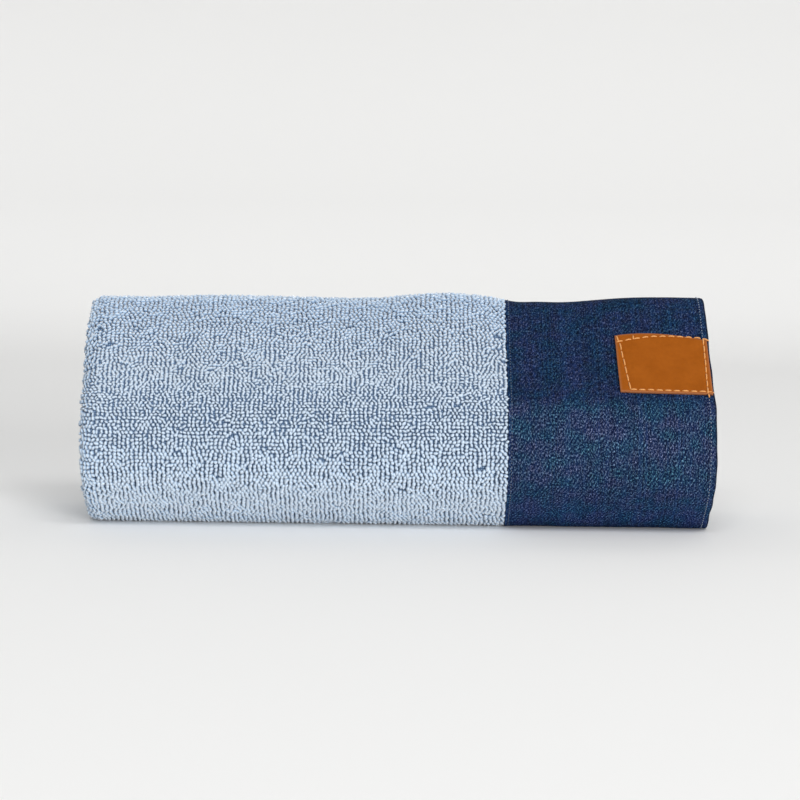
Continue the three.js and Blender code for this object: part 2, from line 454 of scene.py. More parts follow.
    def point(self, turns: np.ndarray, x: np.ndarray, depth: np.ndarray) -> np.ndarray:
        """Carries places in the winding to the towel's frame.

        Args:
            turns: turns from the free edge.
            x: places along the roll.
            depth: depths into the stack from its outer face.

        Returns:
            The points in metres, with three numbers in the last axis.
        """
        turns, x, depth = np.broadcast_arrays(*(np.asarray(value, float) for value in (turns, x, depth)))
        base = np.interp(turns % 1.0, self.shares, self.radii, period=1.0)
        bearing = self.bearing(turns)
        radius = base * self.shrink(turns, depth) + self.swell(turns, x, depth)
        square = 1.0 - soft_step(turns / self.square_end)
        reach = radius + (base * self.shrink(turns, 0.0) - radius) * square
        from_end = (self.end_x - x) / self.length
        size = 1.0 - self.taper * from_end
        y = (self.centre.y - reach * np.cos(bearing)) * size
        z = np.maximum((self.centre.z + radius * np.sin(bearing)) * size, 0.0)
        slip = self.core_slip * (turns / self.full_slip_turns) ** 2
        to_top = (1.0 + np.sin(bearing)) / 2.0
        lean = self.top_lean * to_top**2 * from_end**4
        return np.stack([x - slip - lean, y, z], axis=-1) * MM + self.origin

    def winding(self, depth: float, turns: float) -> tuple[np.ndarray, np.ndarray]:
        """Measures the cloth along its winding.

        Args:
            depth: depth into the stack.
            turns: turns to measure, from the free edge.

        Returns:
            Closely spaced turns, and the cloth's length up to each.
        """
        steps = np.linspace(0.0, turns, self.winding_steps)
        return steps, run_lengths(self.point(steps, 0.0, depth)[:, 1:] / MM)

    def place_in_frame(self, low: Vector, high: Vector) -> None:
        """Moves the roll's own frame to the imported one.

        Args:
            low: low corner of the denim band's box.
            high: its high corner.
        """
        around = np.linspace(0.0, 1.0, 2000)[:, None]
        faces = self.point(around, np.array([self.seam_x, self.end_x])[None], 0.0)
        middle = (faces[..., 1].min() + faces[..., 1].max()) / 2.0
        self.origin = np.array([high.x - self.end_x * MM, (low.y + high.y) / 2.0 - middle, 0.0])


def fold_bend(
    x: float, depths: tuple[float, float], reach: float, angles: np.ndarray, square: float = 1.0
) -> np.ndarray:
    """Places on a fold across the stack.

    Args:
        x: where the fold starts along the roll.
        depths: depths that it starts from and comes back at.
        reach: how far it rounds out, below zero to the left.
        angles: from -90 where it starts to 90 where it ends.
        square: below one for a fold squarer than an ellipse.

    Returns:
        Rows of x and depth.
    """
    turned = np.radians(angles)
    middle, half = (depths[0] + depths[1]) / 2.0, (depths[1] - depths[0]) / 2.0
    out = np.maximum(np.cos(turned), 0.0) ** square
    across = np.sign(turned) * np.abs(np.sin(turned)) ** square
    return np.stack([x + reach * out, middle + half * across], axis=1)


def straight_run(start: float, end: float, depth: float, count: int) -> np.ndarray:
    """Returns rows of x and depth along a flat stretch of a layer."""
    return np.stack([np.linspace(start, end, count), np.full(count, depth)], axis=1)


class Effect:
    """A node tree of a material or of a shader node group, with short calls to add and join nodes."""

    def __init__(self, tree: bpy.types.NodeTree) -> None:
        """Starts on an empty tree."""
        self.tree = tree
        tree.nodes.clear()

    def give(self, socket: Socket, value: object) -> None:
        """Joins an output to an input, or sets the input.

        Args:
            socket: the input.
            value: the output socket, a number or a colour.
        """
        if isinstance(value, Socket):
            self.tree.links.new(value, socket)
        else:
            socket.default_value = (*value, 1.0) if isinstance(value, tuple) else value

    def add(
        self, kind: str, inputs: dict[str | int, object] | None = None, **settings: object
    ) -> bpy.types.Node:
        """Adds a node.

        Args:
            kind: the node's type, without the ShaderNode in front where it has one.
            inputs: a value for an input, or an output socket to join to it.
            settings: the node's own settings.

        Returns:
            The node.
        """
        node = self.tree.nodes.new(kind if kind.startswith("NodeGroup") else f"ShaderNode{kind}")
        for name, value in settings.items():
            setattr(node, name, value)
        for name, value in (inputs or {}).items():
            self.give(node.inputs[name], value)
        return node

    def object_place(self) -> Socket:
        """Returns places in the piece's own frame."""
        return self.add("TexCoord").outputs["Object"]

    def cloth_place(self) -> Socket:
        """Returns places on the uncut cloth."""
        return self.add("UVMap", uv_map="cloth").outputs["UV"]

    def attribute(self, name: str) -> Socket:
        """Returns the piece's own attribute of that name."""
        return self.add("Attribute", attribute_name=name).outputs["Fac"]

    def math(self, operation: str, first: object, second: object = 0.0, third: object = 0.0) -> Socket:
        """Adds a sum and returns its result."""
        return self.add("Math", {0: first, 1: second, 2: third}, operation=operation).outputs[0]

    def pair(self, first: Socket, second: Socket) -> Socket:
        """Returns two numbers joined into a place."""
        return self.add("CombineXYZ", {0: first, 1: second}).outputs[0]

    def noise(self, place: Socket, scale: object, detail: float, roughness: float = 0.5) -> Socket:
        """Adds a soft noise and returns it, about 0 to 1."""
        inputs = {"Vector": place, "Scale": scale, "Detail": detail, "Roughness": roughness}
        return self.add("TexNoise", inputs).outputs["Fac"]

    def remap(
        self,
        value: Socket,
        ends: tuple[float, float],
        results: tuple[float, float] = (0.0, 1.0),
        curve: str = "LINEAR",
    ) -> Socket:
        """Carries the range between two ends to that between two results, and returns it."""
        inputs = dict(enumerate((value, *ends, *results)))
        return self.add("MapRange", inputs, interpolation_type=curve).outputs[0]

    def bump(self, height: Socket, strength: float, depth: float) -> Socket:
        """Adds a relief, its depth in metres, and returns its normals."""
        return self.add("Bump", {"Strength": strength, "Distance": depth, "Height": height}).outputs[0]

    def ramp(self, factor: Socket, places: tuple[float, ...], colours: tuple[Colour, ...]) -> Socket:
        """Adds a row of colours.

        Args:
            factor: picks a colour from the row.
            places: places in the row, from 0 to 1.
            colours: their colours.

        Returns:
            The colour.
        """
        node = self.add("ValToRGB", {"Fac": factor})
        row = node.color_ramp
        while len(row.elements) < len(places):
            row.elements.new(0.5)
        for element, place, colour in zip(row.elements, places, colours):
            element.position = place
            element.color = (*colour, 1.0)
        return node.outputs["Color"]

    def mix(self, factor: object, first: object, second: object, blend: str = "MIX") -> Socket:
        """Mixes two colours.

        Args:
            factor: share of the second colour.
            first: a colour.
            second: another colour, or a tone.
            blend: Blender's name for the way that they mix.

        Returns:
            The mixed colour.
        """
        node = self.add("Mix", data_type="RGBA", blend_type=blend)
        colours = [socket for socket in node.inputs if socket.type == "RGBA"]
        for socket, value in zip([node.inputs[0], *colours], (factor, first, second)):
            self.give(socket, value)
        return [socket for socket in node.outputs if socket.type == "RGBA"][0]

    def times(self, colour: object, tone: object) -> Socket:
        """Multiplies a colour by another or by a tone, and returns the result."""
        return self.mix(1.0, colour, tone, "MULTIPLY")


class Mottle:
    """Soft uneven tone, shared by the cloths, the leather and the floor."""

    NAME = "soft mottle"

    @classmethod
    def tree(cls) -> bpy.types.NodeTree:
        """Builds the group once.

        Returns:
            The group, which puts out a tone about one that wanders over the object.
        """
        made = bpy.data.node_groups.get(cls.NAME)
        if made:
            return made
        made = bpy.data.node_groups.new(cls.NAME, "ShaderNodeTree")
        for name, way in (("Scale", "INPUT"), ("Amount", "INPUT"), ("Tone", "OUTPUT")):
            made.interface.new_socket(name, in_out=way, socket_type="NodeSocketFloat")
        effect = Effect(made)
        given = effect.add("NodeGroupInput").outputs
        noise = effect.noise(effect.object_place(), given["Scale"], detail=3.0)
        swing = effect.math("MULTIPLY", effect.math("SUBTRACT", noise, 0.5), given["Amount"])
        effect.add("NodeGroupOutput", {"Tone": effect.math("ADD", swing, 1.0)})
        return made

    @classmethod
    def tone(cls, effect: Effect, scale: float, amount: float) -> Socket:
        """Places the group in a material and returns its tone."""
        return effect.add("Group", {"Scale": scale, "Amount": amount}, node_tree=cls.tree()).outputs["Tone"]


def new_material(name: str) -> tuple[bpy.types.Material, Effect]:
    """Starts a material.

    Args:
        name: its name.

    Returns:
        The material and its empty node tree.
    """
    material = bpy.data.materials.new(name)
    material.use_nodes = True
    return material, Effect(material.node_tree)


def close_material(effect: Effect, surface: dict[str | int, object]) -> None:
    """Ends a material's tree in one Principled shader with these inputs."""
    shader = effect.add("BsdfPrincipled", surface)
    effect.add("OutputMaterial", {"Surface": shader.outputs["BSDF"]})


@dataclass(frozen=True)
class TerryFinish:
    """Dyed cotton loop pile, with painted shade: darker down each loop towards the ground weave, and on the
    ground weave between the loops.
    """

    # Painted shade: the root and side colours darken each loop down towards the ground, where shade falls
    # between the loops; the tip colour is the yarn's own.
    root: Colour = (0.0406, 0.0857, 0.171)
    side: Colour = (0.287, 0.4, 0.547)
    tip: Colour = (0.693, 0.778, 0.862)
    # Painted shade: the ground weave between the loops is painted this dark colour, where shade falls.
    painted_bed_shade: Colour = (0.0507, 0.0958, 0.183)
    rise_stops: tuple[float, float, float] = (0.2, 0.66, 0.97)
    roughness: float = 0.95
    specular: float = 0.2
    sheen: float = 0.9
    sheen_roughness: float = 0.5
    tint_swing: float = 0.12
    warp_scale: float = 300.0
    weft_scale: float = 260.0

    def pile(self) -> bpy.types.Material:
        """Makes the finish of the loops.

        Returns:
            The material.
        """
        material, effect = new_material("terry pile")
        # Painted shade: each loop is painted darker from its tip down towards the ground.
        colour = effect.ramp(effect.attribute("rise"), self.rise_stops, (self.root, self.side, self.tip))
        # This attribute holds each loop's random tone and the painted light by its place round the roll.
        tint_and_painted_light = effect.attribute("tint_and_painted_light")
        swing = effect.math("MULTIPLY_ADD", tint_and_painted_light, self.tint_swing, 1.0 - self.tint_swing / 2.0)
        mottle = Mottle.tone(effect, scale=22.0, amount=0.12)
        fibre = effect.noise(effect.object_place(), scale=2600.0, detail=2.0)
        close_material(effect, {
            "Base Color": effect.times(colour, effect.math("MULTIPLY", mottle, swing)),
            "Roughness": self.roughness,
            "Specular IOR Level": self.specular,
            "Sheen Weight": self.sheen,
            "Sheen Roughness": self.sheen_roughness,
            "Normal": effect.bump(fibre, strength=0.35, depth=0.0002),
        })
        return material

    def ground(self) -> bpy.types.Material:
        """Makes the finish of the ground weave under the loops, painted dark for the shade that falls
        between them.

        Returns:
            The material.
        """
        material, effect = new_material("terry ground")
        flat = effect.cloth_place()
        warp, weft = (
            effect.add(
                "TexWave", {"Vector": flat, "Scale": scale, "Distortion": 0.6}, bands_direction=way
            ).outputs["Fac"]
            for scale, way in ((self.warp_scale, "X"), (self.weft_scale, "Y"))
        )
        weave = effect.math("MULTIPLY", warp, weft)
        # Painted shade: the weave runs from the dark painted ground colour up to the loops' side colour.
        colour = effect.ramp(weave, (0.0, 1.0), (self.painted_bed_shade, self.side))
        close_material(effect, {
            "Base Color": effect.times(colour, Mottle.tone(effect, scale=30.0, amount=0.2)),
            "Roughness": self.roughness,
            "Specular IOR Level": self.specular,
            "Normal": effect.bump(weave, strength=0.5, depth=0.0003),
        })
        return material


@dataclass(frozen=True)
class DenimFinish:
    """Indigo twill: dark warp floats over a pale weft that shows as specks and flecks."""

    warp_dark: Colour = (0.000912, 0.0041, 0.0228)
    warp_light: Colour = (0.00547, 0.0239, 0.0809)
    weft: Colour = (0.194, 0.308, 0.445)
    violet_cast: Colour = (1.25, 0.93, 1.05)
    green_cast: Colour = (0.68, 1.05, 1.0)
    fresh_cast: Colour = (0.93, 1.1, 1.32)
    # Painted shade: the turned-in edge of the band is painted near black.
    edge_shade: Colour = (0.006, 0.008, 0.016)
    warp_pitch: float = 0.53
    pick_pitch: float = 0.95
    twill_step: float = 4.0
    step_tolerance: float = 0.3
    streak_stretch: float = 0.16
    streak_share: float = 0.75
    yarn_share: float = 0.4
    warp_tones: tuple[float, float] = (0.3, 0.9)
    fleck_stretch: float = 1.1
    fleck_share: float = 0.75
    pale_flecks: tuple[float, float] = (0.5, 0.72)
    dark_flecks: tuple[float, float] = (0.3, 0.56)
    dark_fleck_tones: tuple[float, float] = (0.35, 1.15)
    speck_share: float = 0.4
    least_speck: float = 0.02
    weft_share: float = 0.4
    # Painted light: more pale weft shows on the front below the crease, standing in for the light there.
    painted_light_weft_share: float = 0.5
    casts: tuple[float, float] = (0.38, 0.62)
    blotches: tuple[float, float] = (0.3, 0.7)
    blotch_tones: tuple[float, float] = (0.45, 1.55)
    blotch_share: float = 0.9
    # Painted light: the blotches are evened out on the front that is painted lighter.
    painted_light_blotch_share: float = -0.75
    roughness: float = 0.86
    specular: float = 0.05

    def warp_colour(self, effect: Effect, end: Socket, pick: Socket) -> Socket:
        """Colours the warp, each yarn in its own tone and streaked along its length.

        Args:
            effect: the material's tree.
            end: places across the cloth, in warp yarns.
            pick: places along the cloth, in weft yarns.

        Returns:
            The colour.
        """
        number = effect.math("FLOOR", end)
        yarn = effect.add("TexWhiteNoise", {"W": number}, noise_dimensions="1D").outputs["Value"]
        slub = effect.pair(end, effect.math("MULTIPLY", pick, self.streak_stretch))
        streak = effect.noise(slub, scale=1.3, detail=2.0)
        streaked = effect.math("MULTIPLY", streak, self.streak_share)
        tone = effect.math("MULTIPLY_ADD", yarn, self.yarn_share, streaked)
        return effect.ramp(tone, self.warp_tones, (self.warp_dark, self.warp_light))

    def weft_specks(self, effect: Effect, under: Socket, end: Socket, pick: Socket) -> Socket:
        """Shows the weft unevenly where the warp passes under it.

        Args:
            effect: the material's tree.
            under: one where the warp passes under the weft.
            end: places across the cloth, in warp yarns.
            pick: places along the cloth, in weft yarns.

        Returns:
            How much of the weft shows.
        """
        spot = effect.pair(effect.math("FLOOR", end), effect.math("FLOOR", pick))
        speck = effect.add("TexWhiteNoise", {"Vector": spot}, noise_dimensions="2D").outputs["Value"]
        strong = effect.math("POWER", speck, 2.0)
        show = effect.math("MULTIPLY_ADD", strong, self.speck_share, self.least_speck)
        return effect.math("MULTIPLY", under, show)

    def uneven(self, effect: Effect, colour: Socket, flat: Socket, worn: Socket) -> Socket:
        """Varies the dye over the cloth in soft casts and small blotches, evened out where the front is
        painted lighter.

        Args:
            effect: the material's tree.
            colour: the woven colour.
            flat: places on the uncut cloth.
            worn: the painted light, which lightens the front below the crease.

        Returns:
            The uneven colour.
        """
        cast = effect.noise(flat, scale=75.0, detail=3.0)
        colour = effect.times(colour, effect.ramp(cast, self.casts, (self.violet_cast, self.green_cast)))
        colour = effect.times(colour, Mottle.tone(effect, scale=60.0, amount=0.5))
        blotch = effect.remap(effect.noise(flat, scale=420.0, detail=2.0), self.blotches, self.blotch_tones)
        share = effect.math("MULTIPLY_ADD", worn, self.painted_light_blotch_share, self.blotch_share)
        colour = effect.mix(share, colour, effect.times(colour, blotch))
        fresh = effect.attribute("fresh")
        return effect.mix(fresh, colour, effect.times(colour, self.fresh_cast))

    def cloth(self) -> bpy.types.Material:
        """Makes the finish of the denim.

        Returns:
            The material.
        """
        material, effect = new_material("indigo twill")
        flat = effect.cloth_place()
        across, along, _ = effect.add("SeparateXYZ", {0: flat}).outputs
        end = effect.math("DIVIDE", across, self.warp_pitch * MM)
        pick = effect.math("DIVIDE", along, self.pick_pitch * MM)
        step = effect.math("SUBTRACT", effect.math("FLOOR", pick), effect.math("FLOOR", end))
        repeat = effect.math("WRAP", step, self.twill_step, 0.0)
        under = effect.math("COMPARE", repeat, 0.0, self.step_tolerance)
        # Painted light: this attribute lightens the front below the crease, standing in for the light that
        # falls there.
        worn = effect.attribute("worn")
        long_fleck = effect.pair(end, effect.math("MULTIPLY", pick, self.fleck_stretch))
        fleck = effect.noise(long_fleck, scale=0.72, detail=3.0, roughness=0.7)
        pale = effect.remap(fleck, self.pale_flecks, curve="SMOOTHSTEP")
        specks = self.weft_specks(effect, under, end, pick)
        pale = effect.math("MULTIPLY_ADD", pale, self.fleck_share, specks)
        open_weave = effect.math("MULTIPLY_ADD", worn, self.painted_light_weft_share, self.weft_share)
        shown = effect.math("MINIMUM", effect.math("MULTIPLY", pale, open_weave), 1.0)
        colour = effect.mix(shown, self.warp_colour(effect, end, pick), self.weft)
        colour = effect.times(colour, effect.remap(fleck, self.dark_flecks, self.dark_fleck_tones))
        colour = self.uneven(effect, colour, flat, worn)
        round_yarn = effect.math("SINE", effect.math("MULTIPLY", effect.math("FRACT", end), math.pi))
        height = effect.math("SUBTRACT", round_yarn, under)
        close_material(effect, {
            # Painted shade: the turned-in edge is painted near black.
            "Base Color": effect.mix(effect.attribute("turned"), colour, self.edge_shade),
            "Roughness": self.roughness,
            "Specular IOR Level": self.specular,
            "Normal": effect.bump(height, strength=0.6, depth=0.00018),
        })
        return material


@dataclass(frozen=True)
class LeatherFinish:
    """Tan leather, smooth with a fine grain, duller and paler along its cut edges."""

    deep: Colour = (0.256, 0.0649, 0.00382)
    face: Colour = (0.293, 0.0771, 0.00585)
    edge: Colour = (0.304, 0.118, 0.0506)
    clouds: tuple[float, float] = (0.3, 0.65)
    least_roughness: float = 0.45
    roughness_swing: float = 0.2
    specular: float = 0.05

    def hide(self) -> bpy.types.Material:
        """Makes the finish of the patch.

        Returns:
            The material.
        """
        material, effect = new_material("tan leather")
        place = effect.object_place()
        cloud = effect.noise(place, scale=95.0, detail=4.0)
        colour = effect.ramp(cloud, self.clouds, (self.deep, self.face))
        colour = effect.mix(effect.attribute("cut"), colour, self.edge)
        grain = effect.add("TexVoronoi", {"Vector": place, "Scale": 1900.0}, feature="SMOOTH_F1")
        shine = effect.math("MULTIPLY_ADD", cloud, self.roughness_swing, self.least_roughness)
        close_material(effect, {
            "Base Color": effect.times(colour, Mottle.tone(effect, scale=420.0, amount=0.22)),
            "Roughness": shine,
            "Specular IOR Level": self.specular,
            "Normal": effect.bump(grain.outputs["Distance"], strength=0.35, depth=0.00012),
        })
        return material


class Thread(Enum):
    """The sewing threads, by colour."""

    GOLDEN = (0.74, 0.32, 0.075)
    PALE = (0.22, 0.27, 0.35)
    SLATE = (0.08, 0.11, 0.17)

    def material(self) -> bpy.types.Material:
        """Makes the finish of this thread: plied yarn with a soft sheen and painted shade between the
        plies.

        Returns:
            The material.
        """
        material, effect = new_material(f"{self.name.lower()} thread")
        twist = effect.math("PINGPONG", effect.attribute("ply"), 0.5)
        # Painted shade: the thread is painted darker in the grooves between its plies.
        painted_ply_shade = 0.55
        dark = tuple(painted_ply_shade * part for part in self.value)
        close_material(effect, {
            "Base Color": effect.ramp(twist, (0.0, 0.3), (dark, self.value)),
            "Roughness": 0.6,
            "Sheen Weight": 0.3,
            "Normal": effect.bump(twist, strength=0.5, depth=0.0001),
        })
        return material


@dataclass(frozen=True)
class PileField:
    """A stretch of the cloth that carries loops, from its ground weave to their tips."""

    name: str
    ground: np.ndarray
    tips: np.ndarray
    first_turn: float
    last_turn: float
    spread_turns: tuple[float, float]


@dataclass
class TerryCloth:
    """The looped cloth: its ground weave along all its folds, and its pile where it shows.

    Openness is how far apart the loops stand along a turn, and fade is painted light: how much paler or
    darker the loops are painted by their place round the roll.
    """

    shape: RollShape
    finish: TerryFinish = field(default_factory=TerryFinish)
    ground_depth: float = 2.4
    ground_thickness: float = 0.7
    back_lift: float = 0.4
    band_cover: float = 2.2
    fold_lead: float = 4.0
    fold_clear: float = 20.0
    plain_end_gap: float = 1.0
    seam_overlap: float = 1.1
    row_pitch: float = 2.42
    loop_pitch: float = 2.06
    loop_room: float = 2.75
    loop_stretch: float = 1.05
    scatter: float = 0.5
    push_rounds: int = 10
    push_share: float = 0.22
    least_gap: float = 0.01
    yarn_radius: float = 0.86
    crown_half_length: float = 0.42
    foot_half_length: float = 0.6
    foot_rise: float = 0.2
    quarters: tuple[tuple[str, float, float], ...] = (
        ("under", 0.0, 0.22), ("front", 0.22, 0.46), ("top", 0.46, 0.72), ("back", 0.72, 1.0)
    )
    ledge_turns: tuple[float, float] = (0.004, 0.045)
    open_turns: tuple[float, ...] = (0.25, 0.29, 0.34, 0.375, 0.415, 0.45, 0.52, 0.56, 0.62)
    openness: tuple[float, ...] = (-0.2, -0.1, 0.5, 1.05, 1.2, 0.65, 0.4, 0.0, -0.8)
    open_wave: float = 0.012
    # Painted light: loops painted lighter on the lower front and over the top, and darker on the upper
    # front facet, as the light falls there.
    painted_light_turns: tuple[float, ...] = (0.15, 0.2, 0.26, 0.31, 0.42, 0.46, 0.5, 0.54, 0.57, 0.595, 0.75, 0.9)
    fade: tuple[float, ...] = (0.0, 0.5, 0.5, 0.1, 0.0, -0.55, -0.55, -0.1, 0.1, 0.8, 0.8, 0.0)
    lean: WaveField = WaveField(42, 30.0, 9.0)
    swirl: WaveField = WaveField(43, 22.0, 6.0)
    least_swirl: float = 0.5
    open_swirl: float = 1.2
    twist_spread: float = 0.25
    loop_size: tuple[float, float] = (1.1, 1.16)
    open_loss: tuple[float, float] = (0.16, 0.24)
    size_spread: float = 0.13
    size_limits: tuple[float, float] = (0.6, 1.45)
    height_spread: float = 0.09
    height_lean: float = 0.03
    height_limits: tuple[float, float] = (0.75, 1.14)
    tip_lean: float = 0.3
    tip_spread: float = 0.2
    turn_step: float = 0.002
    seed: int = 41

    def __post_init__(self) -> None:
        """Works out where the folds start, and how deep the outer fold comes back."""
        shape = self.shape
        self.left = -shape.end_x + shape.left_fold - shape.fold_overhang
        self.right = shape.end_x - shape.right_fold_inset - shape.right_fold
        self.deep = shape.stack - self.ground_depth + self.back_lift

    def ground_line(self) -> np.ndarray:
        """Follows the cloth's length from the denim end through all its folds.

        Returns:
            Rows of x and depth.
        """
        shape, left, right, clear = self.shape, self.left, self.right, self.fold_clear
        third, second = shape.layer_middle(2), shape.layer_middle(1)
        half = shape.layer / 2.0
        wide, narrow = np.linspace(-90.0, 90.0, 11), np.linspace(-90.0, 90.0, 7)
        outer = (self.ground_depth, self.deep)
        plain_end = shape.end_x - shape.plain_end_inset - self.plain_end_gap
        return np.concatenate([
            straight_run(shape.end_x - self.band_cover, left + self.fold_lead, self.ground_depth, 44),
            fold_bend(left, outer, self.ground_depth - shape.left_fold, wide, shape.fold_square),
            straight_run(left + clear, right - clear, self.deep, 6),
            fold_bend(right, (self.deep, third), shape.right_fold - half, narrow),
            straight_run(right - clear, left + clear, third, 6),
            fold_bend(left, (third, second), -(shape.left_fold - shape.layer - half), narrow),
            straight_run(left + clear, plain_end, second, 8),
        ])

    def build_ground(self) -> bpy.types.Object:
        """Builds the ground weave as one sheet through all the folds, closer in the outer turn.

        Returns:
            The dressed sheet.
        """
        shape, line = self.shape, self.ground_line()
        turns = shape.turn_steps(outer=97, inner=75)
        points = shape.point(turns[None, :], line[:, :1], line[:, 1:])
        along = np.interp(turns, *shape.winding(shape.stack / 2.0, shape.turns))
        sheet = mapped_grid("terry_ground", points, uncut(line, along), {})
        thicken(sheet, self.ground_thickness, 0.0)
        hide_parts("terry_cloth")
        return settle(sheet, self.finish.ground())

    def outer_rows(self) -> tuple[np.ndarray, np.ndarray, int]:
        """Spaces rows of loops over the outer face and round the left fold.

        Returns:
            x and depth of each row on the ground weave and at its tips, and the first row on the fold.
        """
        shape, left, ground = self.shape, self.left, self.ground_depth
        first = shape.seam_x - self.seam_overlap
        angles = np.linspace(-90.0, 90.0, 200)
        reach, square = shape.left_fold, shape.fold_square
        over = np.concatenate([
            straight_run(first, left, 0.0, 400)[:-1],
            fold_bend(left, (0.0, shape.stack), -reach, angles, square),
        ])
        under = np.concatenate([
            straight_run(first, left, ground, 400)[:-1],
            fold_bend(left, (ground, self.deep), ground - reach, angles, square),
        ])
        run = run_lengths(over)
        marks = np.arange(0.0, run[-1], self.row_pitch)
        feet, tips = (at_lengths(line, run, marks) for line in (under, over))
        return feet, tips, int(np.sum(tips[:, 0] >= left))

    def fields(self) -> list[PileField]:
        """Lists the stretches of cloth that show their loops.

        Returns:
            The quarters of the outer face, the folds at both ends, and the ledge at the free edge.
        """
        shape, left, right, deep = self.shape, self.left, self.right, self.deep
        third, half = shape.layer_middle(2), shape.layer / 2.0
        narrow = np.linspace(-80.0, 80.0, 6)
        under, over, edge = self.outer_rows()
        face, fold = slice(0, edge), slice(edge, len(over))
        turn_ground = fold_bend(right, (deep, third), shape.right_fold - half, narrow)
        turn_tips = fold_bend(right, (shape.stack, shape.layer_top(2)), shape.right_fold, narrow)
        ledge = np.arange(left, right, self.row_pitch)
        on_ledge = np.stack([ledge, np.full(len(ledge), shape.stack)], axis=1)
        under_ledge = np.stack([ledge, np.full(len(ledge), deep)], axis=1)
        all_turns = (0.0, shape.turns)
        return [
            *(PileField(f"terry_pile_{name}", under[face], over[face], low, high, (0.0, 1.0))
              for name, low, high in self.quarters),
            PileField("terry_pile_left_fold", under[fold], over[fold], *all_turns, all_turns),
            PileField("terry_pile_right_fold", turn_ground, turn_tips, *all_turns, all_turns),
            PileField("terry_pile_ledge", under_ledge, on_ledge, *self.ledge_turns, self.ledge_turns),
        ]

    def spread(self, rows: int, count: int, draw: np.random.Generator) -> np.ndarray:
        """Scatters loops and then lets them push each other apart, as crowded loops do.

        Args:
            rows: the rows of loops.
            count: the loops in a row.
            draw: the random draws.

        Returns:
            How far each loop has moved across and along, a row at a time.
        """
        pitch = np.array([self.row_pitch, self.loop_pitch * self.loop_stretch])
        spot = draw.normal(0.0, self.scatter, (rows, count, 2))
        reach = range(-2, 3)
        near = [(down, over) for down in reach for over in reach if (down, over) != (0, 0)]
        for _ in range(self.push_rounds):
            push = np.zeros_like(spot)
            for down, over in near:
                apart = pitch * (down, over) + np.roll(spot, (-down, -over), axis=(0, 1)) - spot
                gap = np.linalg.norm(apart, axis=-1, keepdims=True)
                push -= apart / np.maximum(gap, self.least_gap) * np.maximum(self.loop_room - gap, 0.0)
            spot = spot + self.push_share * push
        return spot / (1.0, self.loop_stretch)

    def unit_loop(self) -> tuple[np.ndarray, np.ndarray]:
        """Works out one loop of yarn, standing on the ground weave.

        Returns:
            Its points along the loop, to its side and up, the tip at height one, and its faces.
        """
        yarn, tall = self.yarn_radius, self.ground_depth
        foot, crown = self.foot_half_length, self.crown_half_length
        low, high = self.foot_rise * tall, tall - yarn
        line = np.array([(-foot, low), (-crown, high), (crown, high), (foot, low)])
        slope = unit(np.gradient(line, axis=0))
        outward = np.stack([-slope[:, 1], slope[:, 0]], axis=1)
        sides = np.radians([0.0, 90.0, 180.0, 270.0])
        flat = line[:, None] + yarn * np.cos(sides)[None, :, None] * outward[:, None]
        side = np.broadcast_to(yarn * np.sin(sides)[None], flat.shape[:2])
        points = np.stack([flat[..., 0], side, flat[..., 1] / tall], axis=-1).reshape(-1, 3)
        return points, tube_quads(len(line), len(sides))

    def build_pile(self, cloth: PileField) -> bpy.types.Object:
        """Builds the loops on one stretch of the cloth.

        Args:
            cloth: the stretch.

        Returns:
            The loops as one object.
        """
        shape = self.shape
        draw = np.random.default_rng(self.seed)
        steps, lengths = shape.winding(float(cloth.tips[:, 1].mean()), shape.turns)
        low, high = np.interp(cloth.spread_turns, steps, lengths)
        count = round((high - low) / self.loop_pitch)
        spot = self.spread(len(cloth.tips), count, draw)
        along = low + (np.arange(count) + 0.5) * (high - low) / count + spot[..., 1]
        turns = np.interp(along, lengths, steps)
        row, place = np.nonzero((turns >= cloth.first_turn) & (turns < cloth.last_turn))
        turns, along, shift = turns[row, place], along[row, place], spot[row, place, 0]
        loops = len(row)
        across = cloth.tips[row, 0] + cloth.tips[row, 1]
        foot = shape.point(turns, cloth.ground[row, 0] + shift, cloth.ground[row, 1])
        tip = shape.point(turns, cloth.tips[row, 0] + shift, cloth.tips[row, 1])
        after = shape.point(turns + self.turn_step, cloth.tips[row, 0] + shift, cloth.tips[row, 1])
        up = tip - foot
        normal = unit(up)
        around = after - tip
        around = unit(around - normal * np.sum(around * normal, axis=1, keepdims=True))
        side = np.cross(normal, around)
        lean = self.lean(across, along)
        apart = np.interp(turns % 1.0 + self.open_wave * lean, self.open_turns, self.openness)
        swirl = self.least_swirl + self.open_swirl * apart.clip(0.0, 1.0) ** 2
        twist = swirl * self.swirl(across, along) + draw.normal(0.0, self.twist_spread, loops)
        ahead = around * np.cos(twist)[:, None] + side * np.sin(twist)[:, None]
        beside = np.cross(normal, ahead)
        size = np.array(self.loop_size) - apart[:, None] * self.open_loss
        size = (size + draw.normal(0.0, self.size_spread, size.shape)).clip(*self.size_limits)
        tall = draw.normal(1.0, self.height_spread, loops) + self.height_lean * lean
        tall = tall.clip(*self.height_limits)
        sideways = self.tip_lean * self.lean(along, across) + draw.normal(0.0, self.tip_spread, loops)
        onward = draw.normal(0.0, self.tip_spread, (loops, 1))
        tip_shift = sideways[:, None] * side * MM + onward * around * MM
        form, quads = self.unit_loop()
        flat = form[None, :, :2] * size[:, None] * MM
        rise = form[None, :, 2:] * tall[:, None, None]
        points = foot[:, None] + ahead[:, None] * flat[..., :1] + beside[:, None] * flat[..., 1:]
        points = points + up[:, None] * rise + tip_shift[:, None] * rise**2
        points[..., 2] = np.maximum(points[..., 2], 0.0)
